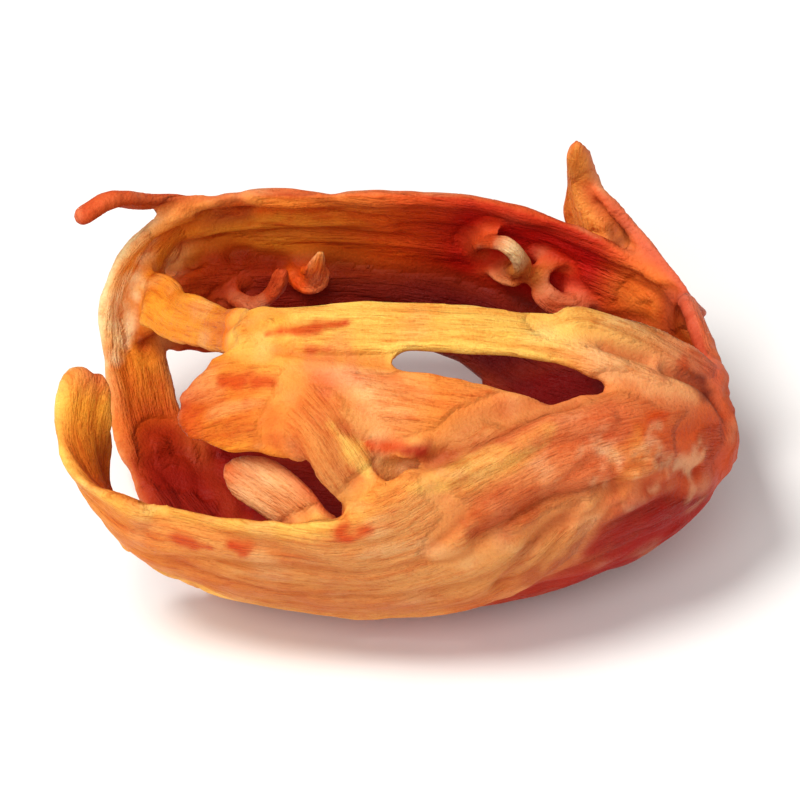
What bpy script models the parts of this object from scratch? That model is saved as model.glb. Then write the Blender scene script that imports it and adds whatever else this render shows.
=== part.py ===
"""A dried nutmeg aril (mace), lying on its side as it dried.

The aril is one piece: flat lobes that leave a cup at the base (+X), run round the space that the seed
left, fork, meet again and close over the tip (-X). Each lobe is a lofted ribbon whose line is given in
places on that seed's surface. The ribbons are joined in one solid, which rests on three flattened lobes.
"""

import math

import bmesh
import bpy
from mathutils import Matrix, Quaternion, Vector

MM = 0.001

# The seed that the lobes grew round, in millimetres
HALF_LENGTH = 19.0
HALF_WIDTH = 13.2
HALF_HEIGHT = 10.0
AXIS_HEIGHT = 9.3
BASE_POWER = 2.0
TIP_POWER = 2.4
SMALLEST_TAPER = 0.04

# The lobes, in millimetres
THICKNESS = 1.15
STRAND_THICKNESS = 0.85
THINNEST = 0.65
FLOOR_CLEARANCE = 0.4
FLOOR_SHARPNESS = 2.6
SMALLEST_CUP = 3.5
STEP_LENGTH = 1.6
TIP_SHARE = 0.45
CUT_DEPTH = 6.0

# A ribbon's section: shares of its half width, and of its thickness
SECTION = (
    (-1.0, 0.0),
    (-0.8, 0.42),
    (-0.3, 0.5),
    (0.3, 0.5),
    (0.8, 0.42),
    (1.0, 0.0),
    (0.8, -0.42),
    (0.3, -0.5),
    (-0.3, -0.5),
    (-0.8, -0.42),
)

# Each station is x in mm, turn in degrees (0 front, 90 top, 180 back, 270 bottom), lift as a share of
# the seed's radius, the lobe's width in mm and, where the lobe rolls over, its roll in degrees.
LOBES = {
    "front": (
        (18.1, 24, 1.0, 3.0),
        (17.1, 29, 1.0, 4.6),
        (14.1, 35, 1.0, 4.8),
        (11.8, 34, 1.0, 5.4),
        (9.6, 31, 1.0, 6.4),
        (7.3, 21, 1.0, 8.4),
        (4.6, 6, 1.0, 11.0),
        (1.2, -5, 1.0, 11.4),
        (-2.8, -11, 1.0, 9.6),
        (-7.9, -11, 1.0, 7.8),
        (-11.6, -9, 1.03, 6.8),
        (-14.5, -8, 1.08, 7.0, -10),
        (-16.8, 7, 1.2, 6.0, -40),
        (-17.6, 32, 1.42, 4.2, -90),
        (-17.3, 50, 1.5, 3.3, -108),
        (-16.9, 58, 1.5, 2.2, -112),
    ),
    "front_fold": (
        (17.0, 34, 1.0, 3.0),
        (14.0, 36, 1.01, 4.6),
        (11.0, 34, 1.025, 5.4),
        (8.4, 31, 1.03, 5.8),
        (5.6, 25, 1.025, 5.8),
        (3.0, 18, 1.01, 5.2),
        (0.6, 12, 0.99, 4.2),
    ),
    "front_side": (
        (18.1, -20, 0.99, 3.2),
        (16.6, -14, 0.98, 7.0),
        (13.5, -10, 0.965, 9.4),
        (9.5, -14, 0.955, 10.4),
        (5.5, -20, 0.95, 9.0),
        (1.5, -24, 0.95, 6.0),
    ),
    "front_under": (
        (18.1, -62, 1.0, 3.2),
        (16.0, -60, 1.0, 7.0),
        (12.0, -58, 1.0, 8.6),
        (6.0, -57, 1.0, 8.8),
        (0.0, -58, 1.0, 8.0),
        (-6.0, -54, 1.0, 7.0),
        (-11.0, -42, 1.0, 5.6),
        (-13.6, -30, 1.01, 4.0),
        (-15.0, -18, 1.03, 2.2),
    ),
    "keel": (
        (18.1, 252, 1.0, 3.2),
        (16.0, 260, 1.0, 7.2),
        (12.0, 266, 1.0, 8.2),
        (7.0, 264, 1.0, 7.0),
        (2.0, 267, 1.0, 5.4),
        (-3.0, 264, 1.0, 4.8),
        (-8.0, 260, 1.0, 6.2),
        (-12.0, 259, 1.0, 6.4),
        (-15.0, 262, 1.0, 4.4),
    ),
    "back_under": (
        (17.1, 212, 1.0, 3.2),
        (15.6, 218, 1.0, 6.6),
        (12.0, 222, 1.0, 7.6),
        (8.0, 217, 1.0, 5.6),
        (4.0, 205, 1.0, 4.8),
        (-1.0, 199, 1.0, 4.8),
        (-6.0, 198, 1.0, 5.4),
        (-10.5, 197, 1.0, 5.6),
        (-14.6, 193, 1.0, 4.0),
    ),
    "fork_under": (
        (10.5, 224, 1.0, 4.4),
        (6.0, 233, 1.0, 4.2),
        (1.0, 238, 1.0, 3.8),
        (-4.0, 239, 1.0, 3.8),
        (-9.0, 240, 1.0, 3.8),
        (-12.5, 243, 1.0, 3.4),
        (-14.8, 246, 1.0, 3.0),
    ),
    "tie_under": (
        (-5.6, 238, 1.0, 2.4),
        (-7.4, 222, 0.99, 2.0),
        (-8.0, 204, 1.0, 2.4),
    ),
    "tie_keel": (
        (-1.5, 266, 1.0, 2.4),
        (-4.6, 250, 0.99, 2.0),
        (-8.0, 236, 1.0, 2.4),
    ),
    "tie_front": (
        (7.0, 272, 1.0, 2.8),
        (3.4, 284, 0.99, 2.4),
        (0.4, 300, 1.0, 3.0),
    ),
    "back": (
        (16.7, 180, 0.96, 3.4),
        (15.6, 182, 0.98, 5.6),
        (13.0, 182, 1.0, 7.4),
        (8.6, 178, 1.0, 8.8),
        (4.0, 172, 1.0, 9.2),
        (-0.6, 169, 1.0, 8.8),
        (-5.2, 167, 1.02, 8.2),
        (-9.8, 165.5, 1.09, 7.8),
        (-12.8, 163, 1.14, 7.2),
        (-14.9, 162, 1.15, 5.0),
    ),
    "end": (
        (-11.0, 152, 1.17, 3.6),
        (-13.6, 158, 1.14, 4.4),
        (-15.2, 170, 1.1, 4.4),
        (-15.7, 192, 1.05, 4.2),
        (-15.2, 220, 1.0, 4.4),
        (-14.2, 246, 1.0, 4.6),
        (-12.4, 268, 1.0, 4.6),
        (-10.0, 288, 0.99, 4.4),
        (-6.5, 304, 0.98, 3.4),
    ),
    "top": (
        (17.9, 58, 0.98, 2.6),
        (16.9, 55, 0.98, 4.0),
        (14.1, 59, 1.0, 4.6),
        (11.2, 64, 1.0, 3.7),
        (8.2, 67.5, 1.0, 3.2),
        (3.8, 68.5, 1.0, 3.2),
        (-0.6, 68.5, 1.0, 3.2),
        (-5.0, 69, 1.0, 3.0),
        (-7.8, 70, 1.0, 2.4),
        (-8.9, 71, 0.98, 1.6),
    ),
    "top_strand": (
        (17.2, 66, 1.06, 1.6),
        (15.4, 69, 1.06, 1.6),
        (13.4, 73, 1.05, 1.6),
        (11.4, 75, 1.04, 1.6),
        (9.6, 75, 1.03, 1.5),
        (8.0, 71, 1.0, 1.2),
    ),
    "cover": (
        (9.2, 40, 0.93, 1.4),
        (6.7, 41, 0.95, 3.2),
        (3.8, 42, 0.97, 4.4),
        (0.9, 44, 0.99, 5.0),
        (-2.0, 46, 1.0, 5.4),
        (-5.0, 47, 1.0, 6.2),
        (-7.6, 48, 1.0, 6.4),
        (-9.8, 46, 0.97, 5.4),
        (-11.4, 43, 0.95, 3.6),
        (-12.1, 41, 0.94, 2.2),
    ),
    "cover_root": (
        (0.4, 64, 0.99, 2.2),
        (-2.4, 63, 0.99, 3.4),
        (-5.0, 61, 0.995, 4.4),
        (-7.4, 56, 1.0, 4.8),
        (-9.4, 50, 0.99, 4.6),
        (-11.0, 45, 0.96, 3.0),
    ),
    "right_finger": (
        (-6.2, 49, 0.98, 2.6),
        (-4.6, 41, 1.02, 3.0),
        (-3.1, 30, 1.01, 3.2),
        (-1.9, 19, 0.98, 3.0),
        (-1.3, 9, 0.95, 2.2),
    ),
    "left_finger": (
        (-9.7, 25, 0.86, 1.6),
        (-8.2, 20, 0.86, 3.0),
        (-6.4, 13.5, 0.88, 3.4),
        (-4.7, 7, 0.93, 2.8),
        (-3.0, 1, 0.97, 1.6),
    ),
    "inner_flap": (
        (6.0, 37, 0.93, 3.0),
        (2.6, 33, 0.91, 4.6),
        (-0.4, 27, 0.91, 4.8),
        (-3.0, 16, 0.93, 3.0),
    ),
    "bridge": (
        (-15.2, 200, 1.0, 2.6),
        (-14.2, 178, 0.86, 3.2),
        (-12.6, 140, 0.5, 3.0),
        (-10.4, 88, 0.62, 2.8),
        (-8.6, 69, 0.95, 2.8),
        (-7.0, 62, 0.99, 2.0),
    ),
    "wing": (
        (16.8, 196, 0.98, 3.0),
        (15.4, 192, 1.0, 4.6),
        (13.6, 186, 1.02, 5.4),
        (11.9, 177, 1.06, 5.4),
        (10.7, 164, 1.18, 4.0),
        (10.1, 150, 1.34, 2.2),
        (10.0, 137, 1.5, 1.4),
    ),
    "wing_rim": (
        (16.6, 162, 0.98, 2.2),
        (15.8, 158, 1.06, 1.7),
        (14.4, 157, 1.16, 1.3),
        (12.9, 157, 1.23, 1.2),
        (11.1, 149, 1.32, 1.1),
    ),
    "base_rim": (
        (17.9, 50, 1.06, 2.0),
        (17.4, 76, 0.78, 1.8),
        (16.9, 106, 0.78, 1.8),
        (16.4, 136, 0.88, 1.9),
        (16.2, 166, 0.95, 2.1),
        (16.5, 196, 1.0, 2.2),
        (17.1, 228, 1.05, 2.2),
        (17.7, 262, 1.06, 2.2),
        (17.95, 300, 1.06, 2.2),
        (18.0, 345, 1.05, 2.1),
        (18.0, 385, 1.06, 2.0),
        (17.9, 410, 1.06, 2.0),
    ),
    "tail": (
        (-9.0, 152, 1.08, 2.0),
        (-12.0, 147, 1.18, 1.8),
        (-14.6, 137, 1.35, 1.5),
        (-16.3, 130, 1.62, 1.3),
        (-17.5, 128, 1.92, 1.2),
        (-18.2, 128, 2.35, 1.0),
    ),
    "torn_strand": (
        (-5.8, 180, 1.01, 2.2),
        (-5.4, 183, 0.9, 2.1),
        (-4.9, 172, 0.78, 1.7),
        (-4.5, 156, 0.8, 1.2),
    ),
    "thread": (
        (-10.8, 172, 1.09, 1.8),
        (-10.2, 188, 1.0, 1.4),
        (-8.6, 188, 0.82, 1.2),
        (-7.4, 174, 0.72, 1.2),
        (-6.8, 156, 0.72, 1.1),
    ),
    "first_curl": (
        (3.8, 178, 1.0, 1.4),
        (4.5, 166, 0.92, 1.2),
        (6.0, 155, 0.86, 1.1),
        (7.0, 165, 0.83, 1.2),
        (6.5, 179, 0.88, 1.5),
        (4.9, 182, 0.98, 1.6),
    ),
    "second_curl": (
        (9.7, 171, 1.0, 1.4),
        (8.2, 173, 0.9, 1.2),
        (7.9, 181, 0.85, 1.2),
        (8.9, 188, 0.85, 1.3),
        (10.3, 188, 0.92, 1.4),
        (10.9, 183, 1.0, 1.4),
    ),
}

# A lobe that crosses the hollow faces this way, and not out from the seed
FACING = {
    "bridge": Vector((-0.25, -0.62, 0.74)),
    "torn_strand": Vector((0.1, -0.75, 0.65)),
    "thread": Vector((0.0, -0.7, 0.7)),
    "first_curl": Vector((0.0, -0.8, 0.6)),
    "second_curl": Vector((0.0, -0.8, 0.6)),
}
STRANDS = ("top_strand", "wing_rim", "tail", "torn_strand", "thread", "first_curl", "second_curl")


def clear_scene():
    for obj in list(bpy.data.objects):
        bpy.data.objects.remove(obj)


def taper(x):
    """Share of the seed's full radius at x: pointed at the base, blunt at the tip."""
    power = BASE_POWER if x > 0 else TIP_POWER
    share = 1 - min(abs(x) / HALF_LENGTH, 1) ** power
    return max(share, SMALLEST_TAPER) ** (1 / power)


def place(x, turn, lift):
    angle = math.radians(turn)
    radius = taper(x) * lift
    y = -HALF_WIDTH * radius * math.cos(angle)
    z = AXIS_HEIGHT + HALF_HEIGHT * radius * math.sin(angle)
    return Vector((x, y, z))


def outward(point):
    """The way out of the seed at a point, from its ellipsoid."""
    away = Vector(
        (
            point.x / HALF_LENGTH**2,
            point.y / HALF_WIDTH**2,
            (point.z - AXIS_HEIGHT) / HALF_HEIGHT**2,
        )
    )
    return away.normalized()


def above_floor(point):
    """The lobes underneath were pressed flat by the tray that they dried on."""
    over = FLOOR_SHARPNESS * (point.z - FLOOR_CLEARANCE)
    raised = math.log1p(math.exp(over)) / FLOOR_SHARPNESS if over < 30 else over / FLOOR_SHARPNESS
    return Vector((point.x, point.y, FLOOR_CLEARANCE + raised))


def spline(values, share):
    """A Catmull-Rom curve through the values, at share 0 to 1 of its spans."""
    spans = len(values) - 1
    at = min(share * spans, spans - 1e-9)
    i = int(at)
    t = at - i
    before = values[i - 1] if i else values[0] * 2 - values[1]
    after = values[i + 2] if i + 2 <= spans else values[-1] * 2 - values[-2]
    start, end = values[i], values[i + 1]
    return 0.5 * (
        start * 2
        + (end - before) * t
        + (before * 2 - start * 5 + end * 4 - after) * t**2
        + (start * 3 - before - end * 3 + after) * t**3
    )


def ribbon_rings(stations, thickness, facing):
    """The rings of points of a lobe's loft, from its first station to its last."""
    centres = [place(*station[:3]) for station in stations]
    widths = [station[3] for station in stations]
    rolls = [station[4] if len(station) > 4 else 0 for station in stations]
    length = sum((b - a).length for a, b in zip(centres, centres[1:]))
    steps = max(6, round(length / STEP_LENGTH))
    rings = []
    for step in range(steps + 1):
        share = step / steps
        centre = spline(centres, share)
        width = max(spline(widths, share), THINNEST)
        nudge = 0.5 / steps
        ahead = spline(centres, min(share + nudge, 1)) - spline(centres, max(share - nudge, 0))
        along = ahead.normalized()
        up = facing or outward(centre)
        up = (up - along * up.dot(along)).normalized()
        up.rotate(Quaternion(along, math.radians(spline(rolls, share))))
        across = along.cross(up)
        cup = max(taper(centre.x) * HALF_HEIGHT * 1.2, SMALLEST_CUP)
        deep = max(min(thickness, width * 0.8), THINNEST)
        if step in (0, steps):
            width, deep = width * TIP_SHARE, deep * TIP_SHARE * 1.4
        ring = []
        for side, through in SECTION:
            bend = side * width / 2 / cup
            middle = centre + across * cup * math.sin(bend) - up * cup * (1 - math.cos(bend))
            normal = up * math.cos(bend) + across * math.sin(bend)
            ring.append(above_floor(middle) + normal * through * deep)
        rings.append(ring)
    return rings


def lofted(name, rings, collection):
    """A closed ribbon through the rings, as an object."""
    mesh = bpy.data.meshes.new(name)
    build = bmesh.new()
    loops = [[build.verts.new(point * MM) for point in ring] for ring in rings]
    count = len(SECTION)
    for near, far in zip(loops, loops[1:]):
        for i in range(count):
            j = (i + 1) % count
            build.faces.new((near[i], near[j], far[j], far[i]))
    build.faces.new(loops[0])
    build.faces.new(reversed(loops[-1]))
    bmesh.ops.recalc_face_normals(build, faces=build.faces)
    build.to_mesh(mesh)
    build.free()
    obj = bpy.data.objects.new(name, mesh)
    collection.objects.link(obj)
    return obj


def new_collection(name):
    collection = bpy.data.collections.new(name)
    bpy.context.scene.collection.children.link(collection)
    return collection


def apply_boolean(obj, operation, operand):
    """Joins a collection to the object, or cuts another object from it, and applies the result."""
    modifier = obj.modifiers.new(operation.title(), "BOOLEAN")
    modifier.operation = operation
    modifier.solver = "MANIFOLD"
    if isinstance(operand, bpy.types.Collection):
        modifier.operand_type = "COLLECTION"
        modifier.collection = operand
    else:
        modifier.object = operand
    bpy.context.view_layer.update()
    graph = bpy.context.evaluated_depsgraph_get()
    mesh = bpy.data.meshes.new_from_object(obj.evaluated_get(graph))
    obj.modifiers.clear()
    obj.data = mesh


def join_lobes(name, home):
    """All the lobes as one object."""
    loose = new_collection("loose_lobes")
    first = None
    for lobe, stations in LOBES.items():
        thickness = STRAND_THICKNESS if lobe in STRANDS else THICKNESS
        rings = ribbon_rings(stations, thickness, FACING.get(lobe))
        obj = lofted(lobe, rings, loose if first else home)
        first = first or obj
    first.name = name
    apply_boolean(first, "UNION", loose)
    for obj in list(loose.objects):
        bpy.data.objects.remove(obj)
    bpy.data.collections.remove(loose)
    return first


def flatten_foot(aril):
    """Cuts off what the floor would flatten, which leaves true flat spots at z 0."""
    side = 4 * HALF_LENGTH * MM
    bpy.ops.mesh.primitive_cube_add(size=1, location=(0, 0, -CUT_DEPTH / 2 * MM))
    cutter = bpy.context.object
    cutter.data.transform(Matrix.Diagonal((side, side, CUT_DEPTH * MM, 1)))
    apply_boolean(aril, "DIFFERENCE", cutter)
    bpy.data.objects.remove(cutter)


def centre_on_origin(aril):
    """Moves the mesh so that the middle of its box is over the origin."""
    xs = [vertex.co.x for vertex in aril.data.vertices]
    ys = [vertex.co.y for vertex in aril.data.vertices]
    middle = Vector(((min(xs) + max(xs)) / 2, (min(ys) + max(ys)) / 2, 0))
    aril.data.transform(Matrix.Translation(-middle))


def dried_skin():
    material = bpy.data.materials.new("dried_skin")
    material.use_nodes = True
    shader = material.node_tree.nodes["Principled BSDF"]
    shader.inputs["Base Color"].default_value = (0.78, 0.27, 0.07, 1)
    shader.inputs["Roughness"].default_value = 0.5
    shader.inputs["Metallic"].default_value = 0.0
    return material


def main():
    clear_scene()
    home = new_collection("dried_nutmeg_aril")
    aril = join_lobes("aril", home)
    flatten_foot(aril)
    centre_on_origin(aril)
    aril.data.materials.clear()
    aril.data.materials.append(dried_skin())
    aril.data.shade_smooth()


main()
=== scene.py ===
"""A dried nutmeg aril (mace) on a pale floor.

The fine skin follows the same lobes as the solid: their lines, widths and lifts are repeated here in
finer steps. The lobes are fused, wrinkled lengthwise, rolled at the rims, and coloured from the yellow
of the thick outer lobes to the dark red of the inner face, which is partly painted shade of the
hollow, with painted shade in furrows and creases and painted highlights along some rims.
"""

import math

import bpy
import numpy as np
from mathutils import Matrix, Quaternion, Vector, kdtree, noise


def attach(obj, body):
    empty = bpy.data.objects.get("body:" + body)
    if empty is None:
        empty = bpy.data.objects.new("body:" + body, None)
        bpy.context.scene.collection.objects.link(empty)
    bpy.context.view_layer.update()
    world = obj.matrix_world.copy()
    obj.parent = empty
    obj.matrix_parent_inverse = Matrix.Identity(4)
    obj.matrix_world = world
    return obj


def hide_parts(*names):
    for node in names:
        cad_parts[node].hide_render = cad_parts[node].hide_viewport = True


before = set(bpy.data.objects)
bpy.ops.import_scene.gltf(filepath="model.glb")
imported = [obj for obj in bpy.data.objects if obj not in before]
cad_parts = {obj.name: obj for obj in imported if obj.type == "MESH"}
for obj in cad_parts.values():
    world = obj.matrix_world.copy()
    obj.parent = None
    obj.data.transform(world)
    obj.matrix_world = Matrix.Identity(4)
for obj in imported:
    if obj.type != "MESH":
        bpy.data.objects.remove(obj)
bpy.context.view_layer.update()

MM = 0.001

# The seed that the lobes grew round, in millimetres
HALF_LENGTH = 19.0
HALF_WIDTH = 13.2
HALF_HEIGHT = 10.0
AXIS_HEIGHT = 9.3
BASE_POWER = 2.0
TIP_POWER = 2.4
SMALLEST_TAPER = 0.04

# The lobes, in millimetres and in shares
THICKNESS = 1.15
STRAND_THICKNESS = 0.85
THINNEST = 0.65
THICKEST_SHARE = 0.8
FLOOR_CLEARANCE = 0.4
FLOOR_SHARPNESS = 2.6
CUP_SHARE = 1.2
SMALLEST_CUP = 3.5
STEP_LENGTH = 0.45
TIP_LENGTH = 1.6
TIP_SHARE = 0.45
TIP_THINNING = 0.6
ROUND_POINTS = 26
ROUND_POWER = 0.55
RIM_LIP = 0.3
LIP_AT = 0.84
LIP_SPREAD = 0.12
NICK_LENGTH = 2.4
NICK_SHARE = 0.1
FINE_NICK = 0.05
FINE_NICK_SCALE = 3.3
FOLD_DEPTH = 0.16
FOLD_LENGTH = 7
FOLD_WIDTH = 2.2
SAMPLE_STEP = 0.4
SAMPLE_RADIUS = SAMPLE_STEP * 0.7
VOXEL = 0.242

# What brings the middle of the solid's box over the origin, in millimetres
SHIFT = (0.0647, -0.0095, 0)

# Each light's place and size in metres, its watts and its colour
LIGHTS = (
    ("key", (-0.18, -0.1, 0.44), 0.2, 1.9, (1, 0.97, 0.93)),
    ("fill", (-0.08, -0.37, 0.32), 0.3, 0.8, (1, 0.98, 0.96)),
)
SKY_STRENGTH = 0.4

# The camera: its angle above the floor in degrees, then metres and its sensor in millimetres
ELEVATION = 40
DISTANCE = 0.45
SENSOR = 36
FRAME_WIDTH = 0.0449
TARGET = Vector((0, 0, 0.0093))

# Where two lobes meet, in millimetres: how far a lobe is felt, how softly one gives way to the next and in
# how many such steps it is gone, and the jump between their lines that counts as a seam, with the rings
# of points and the rounds of easing that calm it
LOBE_REACH = 1.6
SOFT_EDGE = 0.18
SOFT_STEPS = 4
LOBE_SPACING = 9.1
LARGEST_STEP = 1.2
SEAM_RINGS = 2
SEAM_EASING = 6

# Each station is x in mm, turn in degrees (0 front, 90 top, 180 back, 270 bottom), lift as a share of
# the seed's radius, the lobe's width in mm and, where the lobe rolls over, its roll in degrees.
LOBES = {
    "front": (
        (18.1, 24, 1.0, 3.0),
        (17.1, 29, 1.0, 4.6),
        (14.1, 35, 1.0, 4.8),
        (11.8, 34, 1.0, 5.4),
        (9.6, 31, 1.0, 6.4),
        (7.3, 21, 1.0, 8.4),
        (4.6, 6, 1.0, 11.0),
        (1.2, -5, 1.0, 11.4),
        (-2.8, -11, 1.0, 9.6),
        (-7.9, -11, 1.0, 7.8),
        (-11.6, -9, 1.03, 6.8),
        (-14.5, -8, 1.08, 7.0, -10),
        (-16.8, 7, 1.2, 6.0, -40),
        (-17.6, 32, 1.42, 4.2, -90),
        (-17.3, 50, 1.5, 3.3, -108),
        (-16.9, 58, 1.5, 2.2, -112),
    ),
    "front_fold": (
        (17.0, 34, 1.0, 3.0),
        (14.0, 36, 1.01, 4.6),
        (11.0, 34, 1.025, 5.4),
        (8.4, 31, 1.03, 5.8),
        (5.6, 25, 1.025, 5.8),
        (3.0, 18, 1.01, 5.2),
        (0.6, 12, 0.99, 4.2),
    ),
    "front_side": (
        (18.1, -20, 0.99, 3.2),
        (16.6, -14, 0.98, 7.0),
        (13.5, -10, 0.965, 9.4),
        (9.5, -14, 0.955, 10.4),
        (5.5, -20, 0.95, 9.0),
        (1.5, -24, 0.95, 6.0),
    ),
    "front_under": (
        (18.1, -62, 1.0, 3.2),
        (16.0, -60, 1.0, 7.0),
        (12.0, -58, 1.0, 8.6),
        (6.0, -57, 1.0, 8.8),
        (0.0, -58, 1.0, 8.0),
        (-6.0, -54, 1.0, 7.0),
        (-11.0, -42, 1.0, 5.6),
        (-13.6, -30, 1.01, 4.0),
        (-15.0, -18, 1.03, 2.2),
    ),
    "keel": (
        (18.1, 252, 1.0, 3.2),
        (16.0, 260, 1.0, 7.2),
        (12.0, 266, 1.0, 8.2),
        (7.0, 264, 1.0, 7.0),
        (2.0, 267, 1.0, 5.4),
        (-3.0, 264, 1.0, 4.8),
        (-8.0, 260, 1.0, 6.2),
        (-12.0, 259, 1.0, 6.4),
        (-15.0, 262, 1.0, 4.4),
    ),
    "back_under": (
        (17.1, 212, 1.0, 3.2),
        (15.6, 218, 1.0, 6.6),
        (12.0, 222, 1.0, 7.6),
        (8.0, 217, 1.0, 5.6),
        (4.0, 205, 1.0, 4.8),
        (-1.0, 199, 1.0, 4.8),
        (-6.0, 198, 1.0, 5.4),
        (-10.5, 197, 1.0, 5.6),
        (-14.6, 193, 1.0, 4.0),
    ),
    "fork_under": (
        (10.5, 224, 1.0, 4.4),
        (6.0, 233, 1.0, 4.2),
        (1.0, 238, 1.0, 3.8),
        (-4.0, 239, 1.0, 3.8),
        (-9.0, 240, 1.0, 3.8),
        (-12.5, 243, 1.0, 3.4),
        (-14.8, 246, 1.0, 3.0),
    ),
    "tie_under": (
        (-5.6, 238, 1.0, 2.4),
        (-7.4, 222, 0.99, 2.0),
        (-8.0, 204, 1.0, 2.4),
    ),
    "tie_keel": (
        (-1.5, 266, 1.0, 2.4),
        (-4.6, 250, 0.99, 2.0),
        (-8.0, 236, 1.0, 2.4),
    ),
    "tie_front": (
        (7.0, 272, 1.0, 2.8),
        (3.4, 284, 0.99, 2.4),
        (0.4, 300, 1.0, 3.0),
    ),
    "back": (
        (16.7, 180, 0.96, 3.4),
        (15.6, 182, 0.98, 5.6),
        (13.0, 182, 1.0, 7.4),
        (8.6, 178, 1.0, 8.8),
        (4.0, 172, 1.0, 9.2),
        (-0.6, 169, 1.0, 8.8),
        (-5.2, 167, 1.02, 8.2),
        (-9.8, 165.5, 1.09, 7.8),
        (-12.8, 163, 1.14, 7.2),
        (-14.9, 162, 1.15, 5.0),
    ),
    "end": (
        (-11.0, 152, 1.17, 3.6),
        (-13.6, 158, 1.14, 4.4),
        (-15.2, 170, 1.1, 4.4),
        (-15.7, 192, 1.05, 4.2),
        (-15.2, 220, 1.0, 4.4),
        (-14.2, 246, 1.0, 4.6),
        (-12.4, 268, 1.0, 4.6),
        (-10.0, 288, 0.99, 4.4),
        (-6.5, 304, 0.98, 3.4),
    ),
    "top": (
        (17.9, 58, 0.98, 2.6),
        (16.9, 55, 0.98, 4.0),
        (14.1, 59, 1.0, 4.6),
        (11.2, 64, 1.0, 3.7),
        (8.2, 67.5, 1.0, 3.2),
        (3.8, 68.5, 1.0, 3.2),
        (-0.6, 68.5, 1.0, 3.2),
        (-5.0, 69, 1.0, 3.0),
        (-7.8, 70, 1.0, 2.4),
        (-8.9, 71, 0.98, 1.6),
    ),
    "top_strand": (
        (17.2, 66, 1.06, 1.6),
        (15.4, 69, 1.06, 1.6),
        (13.4, 73, 1.05, 1.6),
        (11.4, 75, 1.04, 1.6),
        (9.6, 75, 1.03, 1.5),
        (8.0, 71, 1.0, 1.2),
    ),
    "cover": (
        (9.2, 40, 0.93, 1.4),
        (6.7, 41, 0.95, 3.2),
        (3.8, 42, 0.97, 4.4),
        (0.9, 44, 0.99, 5.0),
        (-2.0, 46, 1.0, 5.4),
        (-5.0, 47, 1.0, 6.2),
        (-7.6, 48, 1.0, 6.4),
        (-9.8, 46, 0.97, 5.4),
        (-11.4, 43, 0.95, 3.6),
        (-12.1, 41, 0.94, 2.2),
    ),
    "cover_root": (
        (0.4, 64, 0.99, 2.2),
        (-2.4, 63, 0.99, 3.4),
        (-5.0, 61, 0.995, 4.4),
        (-7.4, 56, 1.0, 4.8),
        (-9.4, 50, 0.99, 4.6),
        (-11.0, 45, 0.96, 3.0),
    ),
    "right_finger": (
        (-6.2, 49, 0.98, 2.6),
        (-4.6, 41, 1.02, 3.0),
        (-3.1, 30, 1.01, 3.2),
        (-1.9, 19, 0.98, 3.0),
        (-1.3, 9, 0.95, 2.2),
    ),
    "left_finger": (
        (-9.7, 25, 0.86, 1.6),
        (-8.2, 20, 0.86, 3.0),
        (-6.4, 13.5, 0.88, 3.4),
        (-4.7, 7, 0.93, 2.8),
        (-3.0, 1, 0.97, 1.6),
    ),
    "inner_flap": (
        (6.0, 37, 0.93, 3.0),
        (2.6, 33, 0.91, 4.6),
        (-0.4, 27, 0.91, 4.8),
        (-3.0, 16, 0.93, 3.0),
    ),
    "bridge": (
        (-15.2, 200, 1.0, 2.6),
        (-14.2, 178, 0.86, 3.2),
        (-12.6, 140, 0.5, 3.0),
        (-10.4, 88, 0.62, 2.8),
        (-8.6, 69, 0.95, 2.8),
        (-7.0, 62, 0.99, 2.0),
    ),
    "wing": (
        (16.8, 196, 0.98, 3.0),
        (15.4, 192, 1.0, 4.6),
        (13.6, 186, 1.02, 5.4),
        (11.9, 177, 1.06, 5.4),
        (10.7, 164, 1.18, 3.7),
        (10.1, 150, 1.34, 1.9),
        (10.0, 137, 1.5, 1.0),
    ),
    "wing_rim": (
        (16.6, 162, 0.98, 2.2),
        (15.8, 158, 1.06, 1.7),
        (14.4, 157, 1.16, 1.3),
        (12.9, 157, 1.23, 1.1),
        (11.1, 149, 1.32, 1.0),
    ),
    "base_rim": (
        (17.9, 50, 1.06, 2.0),
        (17.4, 76, 0.78, 1.8),
        (16.9, 106, 0.78, 1.8),
        (16.4, 136, 0.88, 1.9),
        (16.2, 166, 0.95, 2.1),
        (16.5, 196, 1.0, 2.2),
        (17.1, 228, 1.05, 2.2),
        (17.7, 262, 1.06, 2.2),
        (17.95, 300, 1.06, 2.2),
        (18.0, 345, 1.05, 2.1),
        (18.0, 385, 1.06, 2.0),
        (17.9, 410, 1.06, 2.0),
    ),
    "tail": (
        (-9.0, 152, 1.08, 2.0),
        (-12.0, 147, 1.18, 1.8),
        (-14.6, 137, 1.35, 1.5),
        (-16.3, 130, 1.62, 1.3),
        (-17.5, 128, 1.92, 1.2),
        (-18.2, 128, 2.35, 1.0),
    ),
    "torn_strand": (
        (-5.8, 180, 1.01, 2.2),
        (-5.4, 183, 0.9, 2.1),
        (-4.9, 172, 0.78, 1.7),
        (-4.5, 156, 0.8, 1.2),
    ),
    "thread": (
        (-10.8, 172, 1.09, 1.8),
        (-10.2, 188, 1.0, 1.4),
        (-8.6, 188, 0.82, 1.2),
        (-7.4, 174, 0.72, 1.2),
        (-6.8, 156, 0.72, 1.1),
    ),
    "first_curl": (
        (3.8, 178, 1.0, 1.4),
        (4.5, 166, 0.92, 1.2),
        (6.0, 155, 0.86, 1.1),
        (7.0, 165, 0.83, 1.2),
        (6.5, 179, 0.88, 1.5),
        (4.9, 182, 0.98, 1.6),
    ),
    "second_curl": (
        (9.7, 171, 1.0, 1.4),
        (8.2, 173, 0.9, 1.2),
        (7.9, 181, 0.85, 1.2),
        (8.9, 188, 0.85, 1.3),
        (10.3, 188, 0.92, 1.4),
        (10.9, 183, 1.0, 1.4),
    ),
}

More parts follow.
